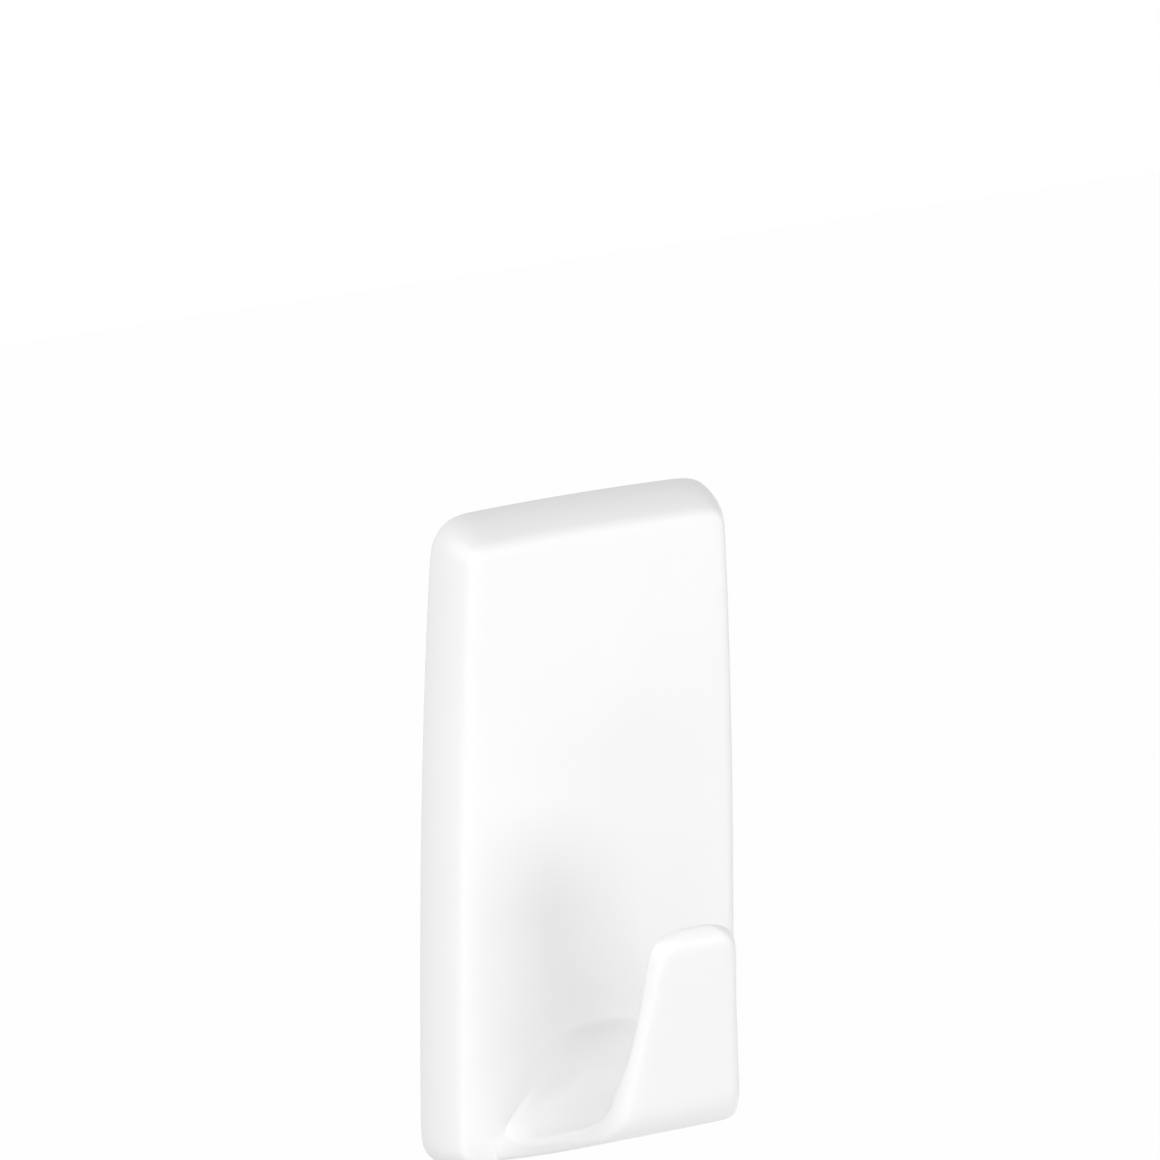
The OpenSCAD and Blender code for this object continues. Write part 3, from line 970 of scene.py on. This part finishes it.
    def grow_inside(self, cover: bpy.types.Object, plate_foot: float, plate_top: float) -> None:
        """Hollow the cover out behind, and add its lugs and its ledge.

        Args:
            cover: The mesh object.
            plate_foot: Height of the base plate's lower edge.
            plate_top: Height of the base plate's upper edge.
        """
        combine(cover, self.hollow(self.passage_w, 0.0), Combine.CUT)
        combine(cover, self.hollow(self.hollow_w, self.hollow_foot), Combine.CUT)
        low = (-self.passage_half, -self.overrun, 0.0)
        high = (self.passage_half, self.hollow_foot, self.passage_w)
        combine(cover, self.block("passage", low, high), Combine.CUT)
        ledge_half = self.half_at(plate_top, 0.0) - self.wall_lean
        low = (-ledge_half, plate_top, self.rim)
        high = (ledge_half, plate_top + self.ledge_t, self.hollow_w + self.overrun)
        combine(cover, self.block("ledge", low, high), Combine.JOIN)
        first, last = plate_foot + self.lug_inset, plate_top - self.lug_inset - self.lug_l
        combine(cover, self.lugs(first, last), Combine.JOIN)

    def hollow(self, depth: float, foot: float) -> bpy.types.Object:
        """Model the space inside the walls as a tool.

        Args:
            depth: Distance from the wall that it reaches.
            foot: Height that it is cut off at.

        Returns:
            The mesh object.
        """
        ring = [(0, row) for row in range(self.ROWS)]
        ring += [(column, self.ROWS) for column in range(self.COLUMNS)]
        ring += [(self.COLUMNS, row) for row in range(self.ROWS, 0, -1)]
        ring += [(column, 0) for column in range(self.COLUMNS, 0, -1)]
        bpy.ops.object.select_all(action="DESELECT")
        bpy.ops.mesh.primitive_circle_add(vertices=len(ring), fill_type="NGON")
        tool = bpy.context.object
        self.mark(tool, ring)
        for w in (self.rim - self.overrun, depth):
            if w == depth:
                with edit_mode(tool):
                    bpy.ops.mesh.extrude_region_move()
            inset = self.wall + max(0.0, self.wall_line(w))
            self.settle(tool, lambda c, r, inset=inset, w=w: (*self.rim_point(c, r, inset), w))
        with edit_mode(tool):
            face_outwards()
            bpy.ops.mesh.bisect(
                plane_co=self.place(0, foot, 0), plane_no=(0, 0, 1), use_fill=True, clear_inner=True
            )
        return tool

    def block(self, name: str, low: Point, high: Point) -> bpy.types.Object:
        """Model a plain block as a tool.

        Args:
            name: The tool's name.
            low: Corner with the lowest values, as (u, v, w).
            high: Corner with the highest values, as (u, v, w).

        Returns:
            The mesh object.
        """
        a, b = self.place(*low), self.place(*high)
        bpy.ops.object.select_all(action="DESELECT")
        sides = [abs(side) for side in b - a]
        bpy.ops.mesh.primitive_cube_add(size=1, location=(a + b) / 2, scale=sides)
        tool = bpy.context.object
        tool.name = name
        bpy.ops.object.transform_apply(location=True, rotation=True, scale=True)
        return tool

    def lugs(self, first: float, last: float) -> bpy.types.Object:
        """Model the lugs of both side rails as one tool.

        Args:
            first: Height of the lowest lug's foot.
            last: Height of the highest lug's foot.

        Returns:
            The mesh object.
        """
        made = []
        for number in range(self.lug_n):
            foot = between(first, last, number / (self.lug_n - 1))
            reach = self.half_at(foot + self.lug_l, 0.0) - self.wall / 2
            for side in (-1, 1):
                near, far = sorted((side * self.rail_half, side * reach))
                back, face = self.rim + self.lug_step, self.rim + self.rail_t
                lug = self.block("lug", (near, foot, back), (far, foot + self.lug_l, face))
                self.chamfer_ends(lug, side * self.rail_half)
                made.append(lug)
        choose(made[0])
        for lug in made[1:]:
            lug.select_set(True)
        bpy.ops.object.join()
        return made[0]

    def chamfer_ends(self, lug: bpy.types.Object, u: float) -> None:
        """Chamfer a lug's corners at its inner side.

        Args:
            lug: The mesh object.
            u: Place across of the inner side.
        """
        clear_selection(lug, Select.EDGES)
        for edge in lug.data.edges:
            a, b = (lug.data.vertices[index].co for index in edge.vertices)
            inner = max(abs(a.x - u * MM), abs(b.x - u * MM)) < self.slide_clear * MM
            edge.select = inner and abs(a.z - b.z) < self.slide_clear * MM
        with edit_mode(lug):
            bpy.ops.mesh.bevel(offset=self.lug_chamfer * MM, segments=1, affect="EDGES")

    def build(self, plate_foot: float, plate_top: float) -> bpy.types.Object:
        """Model the whole cover.

        Args:
            plate_foot: Height of the base plate's lower edge.
            plate_top: Height of the base plate's upper edge.

        Returns:
            The mesh object.
        """
        cover = self.outside()
        self.grow_inside(cover, plate_foot, plate_top)
        for name in self.MARKS:
            cover.data.attributes.remove(cover.data.attributes[name])
        choose(cover)
        bpy.ops.object.shade_smooth_by_angle(angle=math.radians(self.SMOOTH_ANGLE))
        return cover


class NodeBoard:
    """Places the nodes of one shader tree and links them."""

    # Sockets of a mix node that mixes colours: the share, the two colours and the result
    MIX_INPUTS = (0, 6, 7)
    MIX_RESULT = 2

    def __init__(self, tree: bpy.types.NodeTree) -> None:
        """Start on a tree.

        Args:
            tree: A material's, world's or group's node tree.
        """
        self.tree = tree

    def add(
        self, kind: str, settings: dict[str, object] | None = None, **inputs: object
    ) -> bpy.types.Node:
        """Place a node.

        Args:
            kind: The node's type.
            settings: Values of the node's own properties.
            inputs: A value or an output socket for each input, with _ for a space in its name.

        Returns:
            The node.
        """
        node = self.tree.nodes.new(kind)
        for name, value in (settings or {}).items():
            setattr(node, name, value)
        for name, value in inputs.items():
            self.feed(node.inputs[name.replace("_", " ")], value)
        return node

    def feed(self, socket: Socket, value: object) -> None:
        """Link an output to an input, or set the input's own value.

        Args:
            socket: The input.
            value: An output socket or a plain value.
        """
        if isinstance(value, Socket):
            self.tree.links.new(value, socket)
        else:
            socket.default_value = value

    def noise(self, place: Socket, scale: object, detail: float) -> Socket:
        """Place a noise texture.

        Args:
            place: Coordinates.
            scale: Noise cells per metre, as a value or an output socket.
            detail: Number of finer layers.

        Returns:
            The noise's value.
        """
        node = self.add("ShaderNodeTexNoise", Vector=place, Scale=scale, Detail=detail)
        return node.outputs["Fac"]

    def span(
        self, value: Socket, low: float, high: float, to: tuple[float, float] = (0.0, 1.0)
    ) -> Socket:
        """Stretch a range of values.

        Args:
            value: The value.
            low: Start of the range.
            high: End of the range.
            to: What the start and the end become.

        Returns:
            The stretched value.
        """
        node = self.add("ShaderNodeMapRange", Value=value, From_Min=low, From_Max=high)
        self.feed(node.inputs["To Min"], to[0])
        self.feed(node.inputs["To Max"], to[1])
        return node.outputs["Result"]

    def math(self, operation: str, a: object, b: object) -> Socket:
        """Combine two values.

        Args:
            operation: The sum's kind.
            a: First value or output socket.
            b: Second value or output socket.

        Returns:
            The result.
        """
        node = self.add("ShaderNodeMath", {"operation": operation})
        self.feed(node.inputs[0], a)
        self.feed(node.inputs[1], b)
        return node.outputs["Value"]

    def mix(self, share: object, a: object, b: object) -> Socket:
        """Mix two colours.

        Args:
            share: Share of the second colour.
            a: First colour.
            b: Second colour.

        Returns:
            The colour.
        """
        node = self.add("ShaderNodeMix", {"data_type": "RGBA"})
        for number, value in zip(self.MIX_INPUTS, (share, a, b)):
            self.feed(node.inputs[number], value)
        return node.outputs[self.MIX_RESULT]


class Effect(Enum):
    """Surface effects that several finishes share."""

    MOULD_GRAIN = "mould_grain"
    FILM_MOTTLE = "film_mottle"


# Rolled film and drawn rubber are streaked along their length
STREAK_SCALE = (1.0, 1.0, 0.22)
# Finer layers of the fine grain and of the broad clouds, and how much higher the clouds are
FINE_LAYERS = 3.0
BROAD_LAYERS = 2.0
BROAD_HEIGHT = 2.0
# Ranges of the noise that are stretched to the full gloss and the full tone
GLOSS_RANGE = (0.7, 1.3)
TONE_RANGE = (0.3, 0.7)
# Share of its warmth that a grey loses from its green
GREEN_SHARE = 0.3
WHITE = (1.0, 1.0, 1.0, 1.0)


def effect_group(effect: Effect) -> bpy.types.NodeTree:
    """Build an effect's node group, or find it.

    Args:
        effect: Which effect.

    Returns:
        The group, with inputs Vector, Fine and Broad and outputs Height, Gloss and Tone.
    """
    found = bpy.data.node_groups.get(effect.value)
    if found:
        return found
    tree = bpy.data.node_groups.new(effect.value, "ShaderNodeTree")
    tree.interface.new_socket("Vector", in_out="INPUT", socket_type="NodeSocketVector")
    for name in ("Fine", "Broad"):
        tree.interface.new_socket(name, in_out="INPUT", socket_type="NodeSocketFloat")
    for name in ("Height", "Gloss", "Tone"):
        tree.interface.new_socket(name, in_out="OUTPUT", socket_type="NodeSocketFloat")
    board = NodeBoard(tree)
    given = board.add("NodeGroupInput").outputs
    place = given["Vector"]
    if effect is Effect.FILM_MOTTLE:
        place = board.add("ShaderNodeMapping", Vector=place, Scale=STREAK_SCALE).outputs["Vector"]
    fine = board.noise(place, given["Fine"], FINE_LAYERS)
    broad = board.noise(place, given["Broad"], BROAD_LAYERS)
    result = board.add("NodeGroupOutput")
    clouds = board.math("MULTIPLY", broad, BROAD_HEIGHT)
    board.feed(result.inputs["Height"], board.math("ADD", fine, clouds))
    board.feed(result.inputs["Gloss"], board.span(board.math("ADD", fine, broad), *GLOSS_RANGE))
    board.feed(result.inputs["Tone"], board.span(broad, *TONE_RANGE))
    return tree


@dataclass(frozen=True)
class Finish:
    """A material made of one shared effect and its own colours and gloss.

    Attributes:
        name: The material's name.
        effect: The shared effect.
        colour: Base colour, linear.
        shade: The colour where the effect's tone is full.
        polished: Roughness where the effect is glossiest.
        dull: Roughness where it is least glossy.
        fine: Size of the fine grain in millimetres.
        broad: Size of the broad clouds in millimetres.
        relief: Height of the grain in millimetres.
    """

    name: str
    effect: Effect
    colour: Colour
    shade: Colour
    polished: float
    dull: float
    fine: float
    broad: float
    relief: float

    def material(self) -> bpy.types.Material:
        """Build the material."""
        material = bpy.data.materials.new(self.name)
        material.use_nodes = True
        board = NodeBoard(material.node_tree)
        surface = material.node_tree.nodes["Principled BSDF"]
        place = board.add("ShaderNodeTexCoord").outputs["Object"]
        effect = board.add("ShaderNodeGroup", {"node_tree": effect_group(self.effect)})
        board.feed(effect.inputs["Vector"], place)
        board.feed(effect.inputs["Fine"], 1 / (self.fine * MM))
        board.feed(effect.inputs["Broad"], 1 / (self.broad * MM))
        colour = board.mix(effect.outputs["Tone"], self.colour, self.shade)
        board.feed(surface.inputs["Base Color"], colour)
        rough = board.span(effect.outputs["Gloss"], 0.0, 1.0, (self.polished, self.dull))
        board.feed(surface.inputs["Roughness"], rough)
        bump = board.add("ShaderNodeBump", Strength=1.0, Distance=self.relief * MM)
        board.feed(bump.inputs["Height"], effect.outputs["Height"])
        board.feed(surface.inputs["Normal"], bump.outputs["Normal"])
        return material


def grey(value: float, warm: float = 0.0) -> Colour:
    """A linear grey, made warmer by taking some blue away."""
    return value, value * (1 - warm * GREEN_SHARE), value * (1 - warm), 1.0


COVER_WHITE = Finish(
    "cover_white",
    Effect.MOULD_GRAIN,
    colour=grey(0.94),
    shade=grey(0.93, 0.003),
    polished=0.3,
    dull=0.38,
    fine=0.35,
    broad=14.0,
    relief=0.0006,
)
PLATE_WHITE = Finish(
    "plate_white",
    Effect.MOULD_GRAIN,
    colour=grey(0.72, 0.01),
    shade=grey(0.69, 0.015),
    polished=0.42,
    dull=0.58,
    fine=0.5,
    broad=9.0,
    relief=0.003,
)
STRIP_RUBBER = Finish(
    "strip_rubber",
    Effect.FILM_MOTTLE,
    colour=grey(0.74, 0.05),
    shade=grey(0.66, 0.09),
    polished=0.5,
    dull=0.7,
    fine=0.3,
    broad=4.0,
    relief=0.006,
)
STRIP_ADHESIVE = Finish(
    "strip_adhesive",
    Effect.FILM_MOTTLE,
    colour=grey(0.7, 0.12),
    shade=grey(0.6, 0.17),
    polished=0.2,
    dull=0.42,
    fine=0.45,
    broad=6.0,
    relief=0.01,
)
TAB_FILM = Finish(
    "tab_film_white",
    Effect.FILM_MOTTLE,
    colour=grey(0.82),
    shade=grey(0.77, 0.02),
    polished=0.24,
    dull=0.4,
    fine=0.25,
    broad=5.0,
    relief=0.002,
)

NODE_FINISHES = {
    "base_plate": PLATE_WHITE,
    "strip_core": STRIP_RUBBER,
    "wall_adhesive": STRIP_ADHESIVE,
    "plate_adhesive": STRIP_ADHESIVE,
    "tab_film_front": TAB_FILM,
    "tab_film_rear": TAB_FILM,
}


class FinishShelf:
    """Keeps one material for each finish."""

    def __init__(self) -> None:
        """Start with no materials."""
        self.made: dict[str, bpy.types.Material] = {}

    def material(self, finish: Finish) -> bpy.types.Material:
        """The finish's material, built the first time."""
        if finish.name not in self.made:
            self.made[finish.name] = finish.material()
        return self.made[finish.name]

    def dress(self, thing: bpy.types.Object, finish: Finish) -> None:
        """Give an object one finish all over.

        Args:
            thing: A new piece or a CAD node.
            finish: The finish.
        """
        if not thing.material_slots:
            thing.data.materials.append(None)
        for slot in thing.material_slots:
            slot.material = self.material(finish)


@dataclass(frozen=True)
class Lamp:
    """A square soft light that points at the object.

    Attributes:
        name: The light's name.
        azimuth: Degrees to the right of the front.
        elevation: Degrees above the object.
        distance: Metres from the object.
        size: Length of its sides in metres.
        power: Watts.
    """

    name: str
    azimuth: float
    elevation: float
    distance: float
    size: float
    power: float


@dataclass
class Studio:
    """White surroundings, soft light and the camera at the photograph's viewing angle.

    Attributes:
        azimuth: Degrees of the camera to the right of the front.
        elevation: Degrees of the camera above the target.
        distance: Metres from the target to the camera.
        target: Point that the camera is placed by, in metres.
        target_x: Pixels from the frame's left side to the target.
        target_y: Pixels from the frame's top to the target.
        focal: Focal length in pixels.
        frame_size: Width and height of the frame in pixels.
        sensor: Width of the sensor in millimetres.
        surround: Strength of the surroundings as a light.
        near_clip: Nearest distance that the camera sees, in metres.
        floor_drop: Metres from the hook's foot down to the floor.
        floor_size: Length of the floor's sides in metres.
        floor_grey: Brightness of the floor.
        floor_rough: Roughness of the floor.
        lamps: The lights.
    """

    azimuth: float = -28.435
    elevation: float = 19.838
    distance: float = 0.9
    target: Point = (0.0, -0.008, -0.0043)
    target_x: float = 607.2
    target_y: float = 846.5
    focal: float = 9288.9
    frame_size: float = 1160.0
    sensor: float = 36.0
    surround: float = 0.244
    near_clip: float = 0.01
    floor_drop: float = 0.9
    floor_size: float = 6.0
    floor_grey: float = 0.9
    floor_rough: float = 0.9
    lamps: tuple[Lamp, ...] = (
        Lamp("key", 16.0, -6.0, 0.6, 0.3, 0.72),
        Lamp("front", -22.0, 10.0, 0.7, 0.65, 0.86),
        Lamp("left", -82.0, 28.0, 0.7, 0.7, 2.98),
        Lamp("right", 60.0, 10.0, 0.7, 0.6, 1.18),
        Lamp("under", 0.0, -55.0, 0.7, 0.5, 0.72),
        Lamp("under_left", -45.0, -40.0, 0.7, 0.6, 0.73),
        Lamp("above", 0.0, 50.0, 0.7, 0.8, 1.2),
    )

    # Share of the floor that the camera sees as plain white; the rest keeps the object's shadow
    FLOOR_SEEN = 0.985

    @staticmethod
    def direction(azimuth: float, elevation: float) -> Vector:
        """Direction from the object, with azimuth 0 in front and positive to the right."""
        across, up = turned(azimuth - 90), turned(elevation)
        return Vector((across.x * up.x, across.y * up.x, up.y))

    def camera(self) -> None:
        """Add the camera, aimed so that the target falls on its place in the frame."""
        toward = self.direction(self.azimuth, self.elevation)
        right = Vector((0, 0, 1)).cross(toward).normalized()
        up = toward.cross(right)
        middle = self.frame_size / 2
        aside, below = (self.target_x - middle) / self.focal, (self.target_y - middle) / self.focal
        back = (toward + aside * right - below * up).normalized()
        right = (right - right.dot(back) * back).normalized()
        turn = Matrix((right, back.cross(right), back)).transposed().to_4x4()
        place = Matrix.Translation(Vector(self.target) + self.distance * toward)
        bpy.ops.object.camera_add()
        camera = bpy.context.object
        camera.name = "camera"
        camera.matrix_world = place @ turn
        camera.data.sensor_width = self.sensor
        camera.data.lens = self.sensor * self.focal / self.frame_size
        camera.data.clip_start = self.near_clip
        bpy.context.scene.camera = camera

    @staticmethod
    def seen(board: NodeBoard) -> Socket:
        """A mask that is 1 for what the camera sees, straight or through a gloss or glass."""
        path = board.add("ShaderNodeLightPath").outputs
        some = board.math("MAXIMUM", path["Is Camera Ray"], path["Is Glossy Ray"])
        return board.math("MAXIMUM", some, path["Is Transmission Ray"])

    def world(self) -> None:
        """Make the surroundings white to the camera and a plain soft light to the object."""
        world = bpy.data.worlds.new("surround")
        world.use_nodes = True
        board = NodeBoard(world.node_tree)
        strength = board.span(self.seen(board), 0.0, 1.0, (self.surround, 1.0))
        background = world.node_tree.nodes["Background"]
        board.feed(background.inputs["Color"], WHITE)
        board.feed(background.inputs["Strength"], strength)
        bpy.context.scene.world = world

    def floor(self, foot_z: float) -> None:
        """Add the pale floor below the hook.

        Args:
            foot_z: Height of the hook's foot.
        """
        bpy.ops.object.select_all(action="DESELECT")
        place = (0, 0, foot_z - self.floor_drop)
        bpy.ops.mesh.primitive_plane_add(size=self.floor_size, location=place)
        floor = bpy.context.object
        floor.name = "floor"
        bpy.ops.object.transform_apply(location=True)
        material = bpy.data.materials.new("floor_white")
        material.use_nodes = True
        board = NodeBoard(material.node_tree)
        matt = material.node_tree.nodes["Principled BSDF"]
        matt.inputs["Base Color"].default_value = grey(self.floor_grey)
        matt.inputs["Roughness"].default_value = self.floor_rough
        glow = board.add("ShaderNodeEmission", Color=WHITE, Strength=1.0)
        blend = board.add("ShaderNodeMixShader")
        board.feed(blend.inputs[0], board.math("MULTIPLY", self.seen(board), self.FLOOR_SEEN))
        board.feed(blend.inputs[1], matt.outputs["BSDF"])
        board.feed(blend.inputs[2], glow.outputs["Emission"])
        result = material.node_tree.nodes["Material Output"]
        board.feed(result.inputs["Surface"], blend.outputs["Shader"])
        floor.data.materials.append(material)

    def light(self, lamp: Lamp) -> None:
        """Add a lamp.

        Args:
            lamp: Its place, size and power.
        """
        toward = self.direction(lamp.azimuth, lamp.elevation)
        bpy.ops.object.light_add(type="AREA", location=Vector(self.target) + lamp.distance * toward)
        light = bpy.context.object
        light.name = lamp.name
        light.rotation_euler = toward.to_track_quat("Z", "Y").to_euler()
        light.data.size = lamp.size
        light.data.energy = lamp.power

    def set_up(self, foot_z: float) -> None:
        """Add the camera, the floor, the surroundings and the light.

        Args:
            foot_z: Height of the hook's foot.
        """
        self.camera()
        self.world()
        self.floor(foot_z)
        for lamp in self.lamps:
            self.light(lamp)
        bpy.context.scene.view_settings.view_transform = "Standard"


def main() -> None:
    """Build the pieces, dress them and set the stage."""
    logging.basicConfig(level=logging.INFO, format="%(name)s: %(message)s")
    lo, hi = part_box("hook_cover")
    plate_lo, plate_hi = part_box("base_plate")
    moulding = CoverMoulding(lo.z, (hi.x - lo.x) / MM, -hi.y / MM)
    cover = moulding.build((plate_lo.z - lo.z) / MM, (plate_hi.z - lo.z) / MM)
    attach(cover, "cover")
    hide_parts("hook_cover")
    shelf = FinishShelf()
    shelf.dress(cover, COVER_WHITE)
    LOG.info("%s: %d faces, finish %s", cover.name, len(cover.data.polygons), COVER_WHITE.name)
    for name, finish in NODE_FINISHES.items():
        shelf.dress(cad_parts[name], finish)
        LOG.info("%s: CAD node, finish %s", name, finish.name)
    Studio().set_up(lo.z)


if __name__ == "__main__":
    main()
